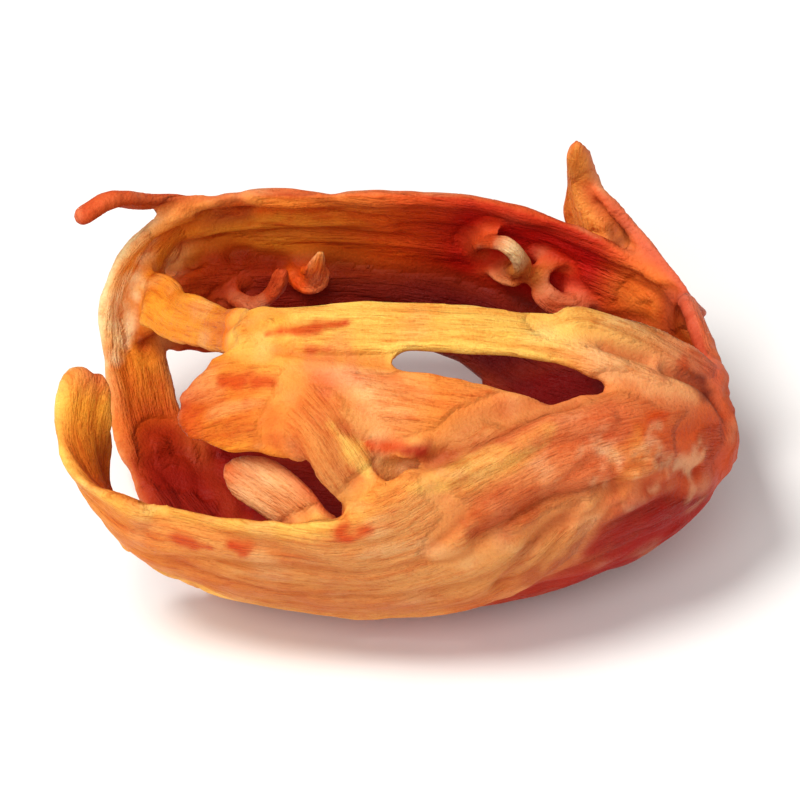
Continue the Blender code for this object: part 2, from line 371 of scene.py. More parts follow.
# A lobe that crosses the hollow faces this way, and not out from the seed
FACING = {
    "bridge": Vector((-0.25, -0.62, 0.74)),
    "torn_strand": Vector((0.1, -0.75, 0.65)),
    "thread": Vector((0.0, -0.7, 0.7)),
    "first_curl": Vector((0.0, -0.8, 0.6)),
    "second_curl": Vector((0.0, -0.8, 0.6)),
}
# Lobes that others hide where they overlap, by how much their skin is set back in mm
SET_BACK = {
    "cover_root": 0.5,
    "first_curl": 0.5,
    "second_curl": 0.5,
    "torn_strand": 0.5,
    "thread": 0.5,
    "back": 0.15,
    "fork_under": 0.3,
    "tie_under": 0.3,
    "tie_keel": 0.3,
    "tie_front": 0.3,
    "inner_flap": 0.3,
    "left_finger": 0.2,
    "front_side": 0.2,
    "cover": 0.3,
    "keel": 0.1,
    "bridge": 0.1,
}
STRANDS = ("top_strand", "wing_rim", "tail", "torn_strand", "thread", "first_curl", "second_curl")

LOBE_NAMES = list(LOBES)


def taper(x):
    """Share of the seed's full radius at x: pointed at the base, blunt at the tip."""
    power = BASE_POWER if x > 0 else TIP_POWER
    share = 1 - min(abs(x) / HALF_LENGTH, 1) ** power
    return max(share, SMALLEST_TAPER) ** (1 / power)


def place(x, turn, lift):
    angle = math.radians(turn)
    radius = taper(x) * lift
    y = -HALF_WIDTH * radius * math.cos(angle)
    z = AXIS_HEIGHT + HALF_HEIGHT * radius * math.sin(angle)
    return Vector((x, y, z))


def outward(point):
    """The way out of the seed at a point, from its ellipsoid."""
    away = Vector(
        (
            point.x / HALF_LENGTH**2,
            point.y / HALF_WIDTH**2,
            (point.z - AXIS_HEIGHT) / HALF_HEIGHT**2,
        )
    )
    return away.normalized()


def above_floor(point):
    """The lobes underneath were pressed flat by the tray that they dried on."""
    over = FLOOR_SHARPNESS * (point.z - FLOOR_CLEARANCE)
    raised = math.log1p(math.exp(over)) / FLOOR_SHARPNESS if over < 30 else over / FLOOR_SHARPNESS
    return Vector((point.x, point.y, FLOOR_CLEARANCE + raised))


def spline(values, share):
    """A Catmull-Rom curve through the values, at share 0 to 1 of its spans."""
    spans = len(values) - 1
    at = min(share * spans, spans - 1e-9)
    i = int(at)
    t = at - i
    before = values[i - 1] if i else values[0] * 2 - values[1]
    after = values[i + 2] if i + 2 <= spans else values[-1] * 2 - values[-2]
    start, end = values[i], values[i + 1]
    return 0.5 * (
        start * 2
        + (end - before) * t
        + (before * 2 - start * 5 + end * 4 - after) * t**2
        + (start * 3 - before - end * 3 + after) * t**3
    )


def round_section():
    """A ribbon's section: shares of its half width, and of its thickness, with a lip at each rim."""
    section = []
    for i in range(ROUND_POINTS):
        angle = 2 * math.pi * (i + 0.5) / ROUND_POINTS
        side = math.cos(angle)
        through = math.copysign(abs(math.sin(angle)) ** ROUND_POWER, math.sin(angle)) / 2
        lip = 1 + RIM_LIP * math.exp(-(((abs(side) - LIP_AT) / LIP_SPREAD) ** 2))
        section.append((side, through * lip))
    return section


SECTION = round_section()


def ribbon(number, stations, thickness, facing):
    """A lobe's rings of points, and samples of its middle surface for the skin to read."""
    centres = [place(*station[:3]) for station in stations]
    widths = [station[3] for station in stations]
    rolls = [station[4] if len(station) > 4 else 0 for station in stations]
    length = sum((b - a).length for a, b in zip(centres, centres[1:]))
    steps = max(8, round(length / STEP_LENGTH))
    rings, samples = [], []
    for step in range(steps + 1):
        share = step / steps
        centre = spline(centres, share)
        nudge = 0.5 / steps
        ahead = spline(centres, min(share + nudge, 1)) - spline(centres, max(share - nudge, 0))
        along = ahead.normalized()
        up = facing or outward(centre)
        up = (up - along * up.dot(along)).normalized()
        up.rotate(Quaternion(along, math.radians(spline(rolls, share))))
        across = along.cross(up)
        width = max(spline(widths, share), THINNEST)
        cup = max(taper(centre.x) * HALF_HEIGHT * CUP_SHARE, SMALLEST_CUP)
        deep = max(min(thickness, width * THICKEST_SHARE), THINNEST)
        run = share * length
        to_end = min(min(run, length - run) / TIP_LENGTH, 1)
        full = TIP_SHARE + (1 - TIP_SHARE) * math.sin(to_end * math.pi / 2)
        deep *= full**TIP_THINNING

        def middle(side):
            """The point, normal and run of the middle surface at a share of the half width."""
            edge = Vector((run / NICK_LENGTH, math.copysign(3, side), number * 7.3))
            nick = NICK_SHARE * noise.noise(edge) + FINE_NICK * noise.noise(edge * FINE_NICK_SCALE)
            half = width * full / 2 * (1 + nick * abs(side))
            bend = side * half / cup
            point = centre + across * cup * math.sin(bend) - up * cup * (1 - math.cos(bend))
            normal = up * math.cos(bend) + across * math.sin(bend)
            wave = Vector((run / FOLD_LENGTH, side * half / FOLD_WIDTH, number * 3.1))
            return above_floor(point) + normal * (noise.noise(wave) * FOLD_DEPTH), normal, half

        ring = []
        for side, through in SECTION:
            point, normal, _ = middle(side)
            ring.append(point + normal * through * deep)
        rings.append(ring)
        count = max(3, round(width / SAMPLE_STEP))
        for i in range(count + 1):
            side = 2 * i / count - 1
            point, normal, half = middle(side)
            samples.append((*point, *normal, *along, number, share, run, side, half))
    return rings, samples


def loose_lobes():
    """All the lobes as one mesh of closed tubes, in millimetres, and their samples."""
    points, faces, samples = [], [], []
    count = ROUND_POINTS
    for number, (name, stations) in enumerate(LOBES.items()):
        thickness = STRAND_THICKNESS if name in STRANDS else THICKNESS
        rings, found = ribbon(number, stations, thickness, FACING.get(name))
        samples += found
        base = len(points)
        for ring in rings:
            points += [tuple(point) for point in ring]
        for r in range(len(rings) - 1):
            low = base + r * count
            for i in range(count):
                j = (i + 1) % count
                faces.append((low + i, low + j, low + count + j, low + count + i))
        faces.append(tuple(base + i for i in reversed(range(count))))
        faces.append(tuple(base + (len(rings) - 1) * count + i for i in range(count)))
    mesh = bpy.data.meshes.new("loose_lobes")
    mesh.from_pydata(points, [], faces)
    mesh.validate()
    return mesh, np.array(samples)


def fused(mesh):
    """The lobes grown together in one closed skin."""
    obj = bpy.data.objects.new("fusing", mesh)
    bpy.context.scene.collection.objects.link(obj)
    remesh = obj.modifiers.new("Fuse", "REMESH")
    remesh.mode = "VOXEL"
    remesh.voxel_size = VOXEL
    bpy.context.view_layer.update()
    graph = bpy.context.evaluated_depsgraph_get()
    skin = bpy.data.meshes.new_from_object(obj.evaluated_get(graph))
    bpy.data.objects.remove(obj)
    bpy.data.meshes.remove(mesh)
    return skin


def read_points(mesh):
    points = np.empty(len(mesh.vertices) * 3)
    mesh.vertices.foreach_get("co", points)
    return points.reshape(-1, 3)


def read_normals(mesh):
    normals = np.empty(len(mesh.vertices) * 3)
    mesh.vertex_normals.foreach_get("vector", normals)
    return normals.reshape(-1, 3)


def read_edges(mesh):
    edges = np.empty(len(mesh.edges) * 2, np.int64)
    mesh.edges.foreach_get("vertices", edges)
    return edges.reshape(-1, 2)


def eased(values, edges, rounds, share=0.5):
    """Values at the points, each drawn towards the mean of its neighbours."""
    values = values.reshape(len(values), -1).copy()
    count = np.bincount(edges.ravel(), minlength=len(values))[:, None].clip(1)
    for _ in range(rounds):
        total = np.empty_like(values)
        for k in range(values.shape[1]):
            total[:, k] = np.bincount(edges[:, 0], values[edges[:, 1], k], len(values))
            total[:, k] += np.bincount(edges[:, 1], values[edges[:, 0], k], len(values))
        values += share * (total / count - values)
    return values if values.shape[1] > 1 else values[:, 0]


def smoothstep(values, low, high):
    t = np.clip((values - low) / (high - low), 0, 1)
    return t * t * (3 - 2 * t)


def lobe_pairs(mesh, samples):
    """The lobes near each point of the skin, as columns of pairs that share a point by weight."""
    points = read_points(mesh)
    normals = read_normals(mesh)
    columns = []
    for number in range(len(LOBE_NAMES)):
        own = samples[samples[:, 9] == number]
        low, high = own[:, :3].min(0) - LOBE_REACH, own[:, :3].max(0) + LOBE_REACH
        near = np.flatnonzero(((points > low) & (points < high)).all(1))
        tree = kdtree.KDTree(len(own))
        for i, sample in enumerate(own):
            tree.insert(sample[:3], i)
        tree.balance()
        found = own[[tree.find(point)[1] for point in points[near]]]
        offset = points[near] - found[:, 0:3]
        across = np.cross(found[:, 6:9], found[:, 3:6])
        ahead = np.einsum("ij,ij->i", offset, found[:, 6:9])
        aside = np.einsum("ij,ij->i", offset, across)
        through = np.einsum("ij,ij->i", offset, found[:, 3:6])
        beyond = (np.hypot(ahead, aside) - SAMPLE_RADIUS).clip(0)
        half = found[:, 13].clip(0.1)
        facing = np.einsum("ij,ij->i", normals[near], found[:, 3:6])
        side = (found[:, 12] + aside / half).clip(-1.1, 1.1)
        away = np.hypot(through, beyond) + SET_BACK.get(LOBE_NAMES[number], 0)
        run = found[:, 11] + ahead
        columns.append(np.stack([near, found[:, 9], found[:, 10], run, side, half, facing, away], 1))
    pairs = np.vstack(columns)
    index = pairs[:, 0].astype(int)
    least = np.full(len(points), 1e9)
    np.minimum.at(least, index, pairs[:, 7])
    keep = pairs[:, 7] - least[index] < SOFT_STEPS * SOFT_EDGE
    pairs, index = pairs[keep], index[keep]
    weight = np.exp((least[index] - pairs[:, 7]) / SOFT_EDGE)
    total = np.bincount(index, weight, len(points))
    at = dict(zip(("share", "run", "side", "half", "facing"), pairs[:, 2:7].T))
    at.update(index=index, lobe=pairs[:, 1].astype(int), weight=weight / total[index])
    return at


def shared(at, values, count):
    """Values of the pairs brought together at the points, by weight."""
    return np.bincount(at["index"], values * at["weight"], count)


def field(run, across, lobe, run_scale, across_scale, seed):
    """Noise that is stretched along the lobes."""
    return np.array(
        [
            noise.noise(Vector((r / run_scale, a / across_scale, n * 5.7 + seed)))
            for r, a, n in zip(run, across, lobe)
        ]
    )


def cloud(points, scale, seed):
    """Noise in space, the same whatever lobe it is on."""
    return np.array([noise.noise(Vector((x / scale, y / scale, z / scale + seed))) for x, y, z in points])


def reach(points, path, radius, pointed=0.0):
    """How near the points are to a path, 1 on it to 0 beyond the radius, which shrinks towards its ends."""
    least = np.full(len(points), 1e9)
    spans = len(path) - 1
    for i in range(spans):
        start, end = np.array(path[i]), np.array(path[i + 1])
        span = end - start
        t = np.clip((points - start) @ span / (span @ span), 0, 1)
        away = np.linalg.norm(points - start - t[:, None] * span, axis=1)
        to_end = (2 * (i + t) / spans - 1) ** 2
        least = np.minimum(least, away * (1 + pointed * to_end))
    return np.clip(1 - least / radius, 0, 1)


def linear(colour):
    """An sRGB colour of 0 to 255 as linear shares."""
    share = np.array(colour) / 255
    return np.where(share <= 0.04045, share / 12.92, ((share + 0.055) / 1.055) ** 2.4)


def stops_at(stops, share, column):
    """The palette colours of a lobe's face along its share."""
    places = [stop[0] for stop in stops]
    colours = np.array([linear(PALETTE[stop[column]]) for stop in stops])
    return np.stack([np.interp(share, places, colours[:, k]) for k in range(3)], axis=1)


def mixed(base, other, amount):
    return base + (other - base) * np.asarray(amount).reshape(-1, 1)


# The skin's waves: their height in mm, then their length along a lobe, width across it and seed
VEIN_HEIGHT = 0.24
VEINS = (11.0, 1.7, 1.7)
FURROW_DEPTH = 0.2
FURROW_WIDTH = 0.24
FIBRE_HEIGHT = 0.13
FIBRES = (4.0, 0.62, 23.1)
RIPPLE_HEIGHT = 0.08
RIPPLES = (0.95, 2.4, 41.3)
SWELL_HEIGHT = 0.12

# Patches that are the same in every direction: their scale in mm and seed
SWELLS = (2.6, 11.0)
RIPPLED_AREAS = (4.0, 3.0)
CRUMB_EDGE = (1.3, 5.0)
CRUMBS = (0.7, 7.0)
FINE_CRUMBS = (0.4, 9.0)
WARM_AREAS = (3.4, 17.0)
PALE_AREAS = (2.2, 29.0)
RAGGED_EDGE = (0.75, 31.0)
SPECKS = (1.3, 51.0)
FINE_SPECKS = (0.47, 57.0)

# sRGB colours of the dried skin
PALETTE = {
    "cream": (255, 228, 172),
    "peach": (246, 176, 112),
    "butter": (255, 206, 96),
    "amber": (247, 158, 44),
    "apricot": (245, 154, 66),
    "tan": (216, 144, 78),
    "salmon": (226, 122, 70),
    "coral": (214, 86, 36),
    "pink": (222, 104, 76),
    "rose": (166, 26, 18),
    "flame": (252, 104, 20),
    "ember": (212, 84, 16),
    "rust": (182, 66, 14),
    "blood": (204, 60, 0),
    "brick": (150, 34, 10),
    "cherry": (206, 16, 6),
    "crimson": (158, 8, 4),
    "maroon": (92, 3, 2),
}

# Share along the lobe, then the colours of its outer face, inner face and rims. The darker inner colours
# are partly painted shade of the hollow, and the paler rim colours are partly painted highlights along the
# rolled rims.
COLOURS = {
    "front": (
        # The rust and coral at the base end are painted shade on the front's lower right
        (0.0, "rust", "coral", "coral"),
        (0.22, "coral", "coral", "salmon"),
        (0.36, "tan", "coral", "tan"),
        (0.45, "tan", "rust", "apricot"),
        (0.55, "tan", "rust", "butter"),
        (0.8, "apricot", "ember", "butter"),
        (0.92, "butter", "amber", "butter"),
        (1.0, "salmon", "salmon", "apricot"),
    ),
    "front_fold": (
        (0.0, "coral", "coral", "coral"),
        (0.4, "salmon", "coral", "tan"),
        (1.0, "tan", "coral", "tan"),
    ),
    "front_side": (
        # The rose and brick at the base end are painted shade on the front's lower right
        (0.0, "rose", "coral", "coral"),
        (0.4, "brick", "rust", "coral"),
        (1.0, "salmon", "rust", "salmon"),
    ),
    "front_under": (
        # The crimson and rose at the base end are painted shade on the lower right, which is turned from
        # the light
        (0.0, "crimson", "brick", "rose"),
        (0.3, "rose", "brick", "rose"),
        (0.5, "coral", "crimson", "coral"),
        (0.7, "tan", "crimson", "apricot"),
        (1.0, "amber", "brick", "amber"),
    ),
    "keel": (
        (0.0, "rose", "maroon", "brick"),
        (0.5, "coral", "maroon", "brick"),
        (1.0, "apricot", "crimson", "brick"),
    ),
    "back_under": (
        (0.0, "pink", "maroon", "brick"),
        (0.5, "coral", "maroon", "rust"),
        (0.8, "coral", "brick", "ember"),
        (1.0, "coral", "ember", "ember"),
    ),
    "fork_under": ((0.0, "coral", "crimson", "coral"), (1.0, "coral", "crimson", "brick")),
    "tie_under": ((0.0, "coral", "crimson", "coral"), (1.0, "coral", "crimson", "coral")),
    "tie_keel": ((0.0, "coral", "crimson", "coral"), (1.0, "coral", "crimson", "coral")),
    "tie_front": ((0.0, "coral", "crimson", "coral"), (1.0, "coral", "crimson", "coral")),
    "back": (
        (0.0, "salmon", "amber", "pink"),
        (0.2, "coral", "flame", "salmon"),
        (0.27, "coral", "cherry", "coral"),
        (0.46, "coral", "cherry", "coral"),
        # The amber on the inner face towards the tip is painted light on the wall under the rim, and the
        # peach rims are a painted highlight along its top
        (0.56, "coral", "flame", "salmon"),
        (0.7, "salmon", "amber", "salmon"),
        (0.85, "salmon", "amber", "peach"),
        (1.0, "salmon", "amber", "peach"),
    ),
    "end": (
        (0.0, "apricot", "flame", "apricot"),
        (0.2, "tan", "amber", "cream"),
        (0.4, "apricot", "amber", "cream"),
        (0.58, "apricot", "ember", "apricot"),
        (0.7, "coral", "brick", "coral"),
        (1.0, "coral", "crimson", "coral"),
    ),
    "top": (
        (0.0, "coral", "coral", "pink"),
        (0.2, "peach", "coral", "tan"),
        (0.36, "peach", "ember", "apricot"),
        (0.5, "butter", "ember", "butter"),
        (0.85, "butter", "ember", "butter"),
        (1.0, "amber", "rust", "butter"),
    ),
    "top_strand": (
        (0.0, "pink", "coral", "pink"),
        (0.4, "tan", "coral", "tan"),
        (1.0, "butter", "coral", "butter"),
    ),
    "cover": (
        (0.0, "salmon", "coral", "tan"),
        (0.3, "apricot", "coral", "apricot"),
        (0.45, "peach", "rust", "apricot"),
        (0.6, "apricot", "rust", "amber"),
        (0.78, "amber", "rust", "amber"),
        # The ember and rust at the left end are painted shade
        (0.9, "ember", "rust", "ember"),
        (1.0, "rust", "rust", "rust"),
    ),
    "cover_root": (
        (0.0, "salmon", "coral", "salmon"),
        (0.6, "apricot", "rust", "amber"),
        (1.0, "ember", "rust", "ember"),
    ),
    "right_finger": (
        (0.0, "apricot", "coral", "apricot"),
        (0.5, "tan", "coral", "tan"),
        (1.0, "tan", "rust", "tan"),
    ),
    "left_finger": (
        (0.0, "salmon", "brick", "salmon"),
        (0.4, "peach", "rust", "salmon"),
        (1.0, "coral", "rust", "coral"),
    ),
    "inner_flap": (
        (0.0, "salmon", "salmon", "salmon"),
        (0.4, "peach", "peach", "peach"),
        (1.0, "peach", "peach", "cream"),
    ),
    "bridge": (
        # The rust at the left end and the ember near the right end are painted shade
        (0.0, "rust", "rust", "rust"),
        (0.2, "amber", "ember", "amber"),
        (0.55, "amber", "rust", "amber"),
        (0.82, "ember", "rust", "amber"),
        (1.0, "amber", "rust", "amber"),
    ),
    "wing": (
        (0.0, "pink", "flame", "pink"),
        (0.5, "salmon", "apricot", "salmon"),
        (1.0, "salmon", "apricot", "salmon"),
    ),
    "wing_rim": ((0.0, "pink", "coral", "pink"), (1.0, "salmon", "coral", "pink")),
    "base_rim": (
        (0.0, "salmon", "coral", "pink"),
        (0.5, "pink", "brick", "pink"),
        (1.0, "coral", "coral", "pink"),
    ),
    "tail": ((0.0, "coral", "rust", "salmon"), (1.0, "coral", "rust", "coral")),
    "torn_strand": (
        (0.0, "ember", "rust", "ember"),
        (0.75, "flame", "coral", "flame"),
        (1.0, "apricot", "tan", "cream"),
    ),
    "thread": ((0.0, "rust", "brick", "rust"), (1.0, "coral", "brick", "coral")),
    "first_curl": (
        (0.0, "coral", "brick", "coral"),
        (0.32, "coral", "brick", "coral"),
        # The cream band is a painted highlight on the top of the curl
        (0.46, "cream", "coral", "cream"),
        (0.62, "apricot", "coral", "apricot"),
        (1.0, "coral", "coral", "coral"),
    ),
    "second_curl": ((0.0, "coral", "crimson", "coral"), (1.0, "coral", "crimson", "pink")),
}
# How strongly the rim colours are laid on: partly the rims' own paler colour, partly a painted highlight
# along the rolled rims
RIM_STRENGTH = 0.85

# What the skin's colour is multiplied by where it is warmer or threaded, and the painted shade laid into
# its furrows and folds
WARMER = (0.92, 0.66, 0.5)
PAINTED_FURROW_SHADE = (0.8, 0.5, 0.34)
THREADED = (0.88, 0.64, 0.48)
PAINTED_CREASE_SHADE = (0.66, 0.3, 0.2)

# How far a mark fades beyond its radius, and how much narrower it is at its ends
MARK_SPREAD = 2.3
MARK_POINTED = 1.6

# Stains, rubbed spots, painted shade and painted highlights: colour, strength, radius in mm, and the places
# that the mark runs through
MARKS = (
    ("blood", 0.85, 0.5, (-13.2, -11.8, 9.5), (-10.6, -12.5, 9.3)),
    ("blood", 0.9, 0.5, (-9.4, -12.8, 9.7), (-8.0, -13.1, 9.7)),
    ("blood", 0.9, 0.7, (-4.2, -13.3, 11.1), (-1.8, -13.5, 11.5)),
    ("blood", 0.9, 0.45, (-7.4, -5.4, 18.6), (-3.0, -5.0, 19.0)),
    ("blood", 0.75, 0.3, (-6.8, -6.35, 18.15), (-4.0, -6.4, 18.3)),
    ("blood", 0.85, 0.7, (-9.9, -7.3, 16.8), (-6.9, -8.2, 17.3)),
    ("blood", 0.9, 0.55, (-1.9, -10.9, 15.2), (0.6, -11.0, 15.1)),
    # Dark red streak in the crease under the cover: partly a red stain, partly painted shade of the crease
    ("crimson", 0.9, 0.6, (-0.2, -11.1, 15.0), (1.6, -11.3, 14.9), (3.8, -11.9, 14.4)),
    ("blood", 0.7, 0.6, (13.9, -5.0, 15.7), (14.8, -4.7, 15.4)),
    ("blood", 0.6, 0.5, (15.4, -3.7, 15.1), (16.0, -3.5, 14.8)),
    ("ember", 0.7, 0.9, (13.0, -8.1, 14.2), (14.6, -7.2, 13.8)),
    ("pink", 0.4, 1.9, (-5.0, -7.2, 18.0), (-2.5, -8.0, 18.0)),
    # Painted shade on the left part of the cover
    ("rust", 0.5, 1.1, (-11.2, -9.4, 15.0), (-8.0, -10.2, 15.0), (-5.4, -11.0, 14.8)),
    # Painted highlight along the right edge of the right finger
    ("butter", 0.6, 0.5, (-3.8, -10.4, 16.4), (-2.5, -11.6, 15.2), (-1.7, -12.2, 14.0)),
    ("peach", 0.85, 0.6, (-0.8, -10.5, 13.3), (0.4, -10.6, 13.4), (1.6, -10.6, 13.7)),
    ("cream", 0.9, 1.1, (-14.3, 10.6, 13.0), (-15.7, 9.9, 10.8), (-16.2, 8.8, 8.4), (-16.4, 7.0, 6.6)),
    # Painted shade along the lower front
    ("rust", 0.35, 2.0, (-13.0, -10.5, 7.2), (-8.0, -12.0, 5.8), (-0.7, -12.4, 5.0), (7.0, -12.0, 4.6)),
    # Painted highlight along the rim of the front lobe
    ("butter", 0.4, 0.9, (0.6, -12.5, 13.6), (3.0, -12.2, 14.1), (5.4, -11.6, 14.6), (8.2, -9.8, 15.5)),
    # Painted shade on the front's lower right, near the base
    ("crimson", 0.7, 3.0, (11.5, -10.4, 7.6), (14.4, -8.4, 7.0)),
    ("crimson", 0.5, 2.6, (7.6, -12.0, 6.8), (10.0, -11.0, 6.0)),
    # Painted shade in the crease on the front's right
    ("rust", 0.65, 1.5, (7.0, -12.2, 13.0), (5.6, -12.9, 12.2), (4.4, -13.2, 11.0)),
    ("apricot", 0.5, 1.5, (11.8, -9.5, 13.0), (13.4, -8.9, 12.4)),
    # Painted light: brighter orange along the bevel under the back rim, on the shaded inner wall
    ("flame", 0.7, 0.9, (-11.1, 10.6, 14.0), (-8.2, 11.3, 13.6), (-5.2, 11.4, 13.5), (-0.6, 11.6, 13.0)),
    # Painted shade in the crease near the base
    ("maroon", 0.85, 0.6, (11.4, 11.6, 13.6), (12.2, 10.7, 12.7), (12.8, 9.6, 12.3)),
    # Painted shade in the groove beside the top strand, near the base
    ("maroon", 0.95, 0.55, (14.6, -4.5, 15.3), (16.4, -4.1, 14.1), (17.4, -4.0, 13.0), (17.9, -4.5, 11.7)),
    ("blood", 0.7, 0.5, (13.6, -7.6, 14.1), (14.6, -6.8, 13.9)),
    ("peach", 0.45, 0.9, (11.5, -6.0, 16.0), (14.0, -5.2, 15.3), (16.2, -5.2, 13.8)),
)

# Creases pressed into the skin: depth and radius in mm, and the places that the crease runs through
CREASES = (
    (0.55, 1.0, (11.9, -10.3, 11.8), (8.5, -12.1, 12.4), (6.7, -12.8, 11.9), (4.2, -13.4, 10.8)),
    (0.45, 0.9, (9.7, -11.6, 11.4), (7.2, -12.6, 9.4), (5.4, -12.7, 6.7)),
    (0.3, 0.8, (14.4, -8.6, 12.1), (16.4, -7.2, 10.0)),
    (0.3, 0.6, (-3.2, -10.3, 16.3), (-1.8, -11.2, 15.4), (-0.9, -12.0, 14.0)),
    (0.3, 0.6, (-5.6, -10.8, 15.2), (-4.2, -11.6, 13.8), (-3.2, -12.4, 12.2)),
    (0.5, 0.5, (11.2, 11.7, 13.9), (12.2, 10.7, 12.7), (12.9, 9.4, 12.2)),
    (0.4, 0.7, (-11.1, 10.7, 13.9), (-8.2, 11.4, 13.5), (-5.2, 11.5, 13.4), (-1.2, 11.7, 12.9)),
    (0.4, 0.7, (-12.2, 11.7, 10.8), (-10.1, 12.1, 11.2), (-5.2, 12.3, 11.3), (0.2, 12.3, 10.9)),
    (-0.3, 0.8, (-11.1, 11.3, 12.5), (-5.2, 12.0, 12.2), (-0.6, 12.1, 11.9)),
    (0.45, 0.6, (11.2, -4.7, 17.2), (12.3, -4.5, 16.8), (13.7, -4.4, 16.1)),
    (0.55, 0.6, (14.7, -4.5, 15.4), (16.4, -4.0, 14.2), (17.4, -4.0, 13.0), (18.1, -4.3, 12.1)),
    (0.3, 0.7, (-6.8, -6.2, 18.2), (-4.6, -6.6, 18.2), (-1.0, -7.0, 18.2)),
    (0.45, 0.75, (1.2, -11.4, 14.5), (3.2, -11.2, 15.1), (5.2, -10.7, 15.6),
     (7.9, -8.9, 16.2), (9.6, -8.1, 16.2)),
    (-0.4, 0.8, (0.6, -12.4, 13.8), (3.0, -12.1, 14.2), (5.4, -11.6, 14.7),
     (8.2, -9.8, 15.6), (11.4, -8.5, 15.1)),
)

# Where scraps of crumbly tissue cling near the base, in mm
CRUMB_PATH = ((11.4, -9.8, 13.2), (13.4, -8.9, 12.4), (15.4, -7.6, 11.2))
CRUMB_RADIUS = 3.4


def relief(points, at):
    """How far each point of the skin stands out or in, in mm, and the patterns that colour follows."""
    run, across, lobe = at["run"], at["side"] * at["half"], at["lobe"]
    count = len(points)
    veins = shared(at, field(run, across, lobe, *VEINS), count)
    furrows = 1 - smoothstep(np.abs(veins), 0.0, FURROW_WIDTH)
    fibres = shared(at, field(run, across, lobe, *FIBRES), count)
    ripples = shared(at, field(run, across, lobe, *RIPPLES), count)
    ripples *= smoothstep(cloud(points, *RIPPLED_AREAS), 0.0, 0.4)
    height = VEIN_HEIGHT * veins - FURROW_DEPTH * furrows + FIBRE_HEIGHT * fibres
    height = height + RIPPLE_HEIGHT * ripples + SWELL_HEIGHT * cloud(points, *SWELLS)
    # Where the creases press in: the mask for the painted shade laid into them
    crease_shade = np.zeros(count)
    for depth, radius, *path in CREASES:
        near = smoothstep(reach(points, path, radius), 0, 1)
        height -= depth * near
        crease_shade = np.maximum(crease_shade, near * (depth > 0))
    near = reach(points, CRUMB_PATH, CRUMB_RADIUS)
    crumb = smoothstep(near + 0.7 * cloud(points, *CRUMB_EDGE), 0.35, 0.8)
    crumb *= smoothstep(shared(at, at["facing"], count), 0, 0.4)
    height += crumb * (0.16 * cloud(points, *CRUMBS) + 0.1 * cloud(points, *FINE_CRUMBS))
    return height, {"furrows": furrows, "fibres": fibres, "crease_shade": crease_shade, "crumb": crumb}


def deepened(colour, tint, amount):
    return mixed(colour, colour * np.array(tint), amount)


def tinted(points, at, pattern, edges):
    """The skin's colour at each point: its own colours and stains, with painted shade in the hollow,
    furrows and creases and painted highlights along rims.
    """
    paired = np.empty((len(at["lobe"]), 3))
    # Inner faces take the darker inner colours, partly painted shade of the hollow
    outer = smoothstep(at["facing"], -0.35, 0.35)
    for number, name in enumerate(LOBE_NAMES):
        here = at["lobe"] == number
        stops, share = COLOURS[name], at["share"][here]
        face = mixed(stops_at(stops, share, 2), stops_at(stops, share, 1), outer[here])
        # Rim colours: partly the rims' own paler colour, partly a painted highlight, laid on more strongly
        # on the outer face
        rim = smoothstep(np.abs(at["side"][here]), 0.62, 0.96) * RIM_STRENGTH
        rim *= 0.4 + 0.6 * outer[here]
        paired[here] = mixed(face, stops_at(stops, share, 3), rim)
    colour = np.stack([shared(at, paired[:, k], len(points)) for k in range(3)], axis=1)
    outer = shared(at, outer, len(points))
    colour = eased(colour, edges, 3)
    streaks = pattern["fibres"]
    warm = smoothstep(cloud(points, *WARM_AREAS) + 0.4 * streaks, -0.1, 0.6)
    colour = deepened(colour, WARMER, 0.6 * warm)
    pale = smoothstep(cloud(points, *PALE_AREAS) + 0.5 * streaks, 0.1, 0.65) * outer
    colour = mixed(colour, linear(PALETTE["cream"]), 0.15 * pale)
    # Painted shade in the furrows
    colour = deepened(colour, PAINTED_FURROW_SHADE, 0.5 * pattern["furrows"])
    thread = smoothstep(-streaks, 0.05, 0.5)
    colour = deepened(colour, THREADED, 0.45 * thread)
    # Painted shade in the creases
    colour = deepened(colour, PAINTED_CREASE_SHADE, 0.6 * pattern["crease_shade"])
    ragged = 0.5 * cloud(points, *RAGGED_EDGE) + 0.5 * streaks
    for name, strength, radius, *path in MARKS:
        near = reach(points, path, radius * MARK_SPREAD, MARK_POINTED)
        spread = smoothstep(near + ragged * near**0.5, 0.16, 0.95)
        colour = mixed(colour, linear(PALETTE[name]), strength * spread)
    speck = cloud(points, *SPECKS) + 0.5 * cloud(points, *FINE_SPECKS) + 0.4 * streaks
    crumb = pattern["crumb"]
    colour = mixed(colour, linear(PALETTE["cream"]), 0.3 * crumb * smoothstep(speck, -0.3, 0.5))
    colour = mixed(colour, linear(PALETTE["brick"]), 0.2 * crumb * smoothstep(-speck, 0.0, 0.5))
    return colour.clip(0, 1)


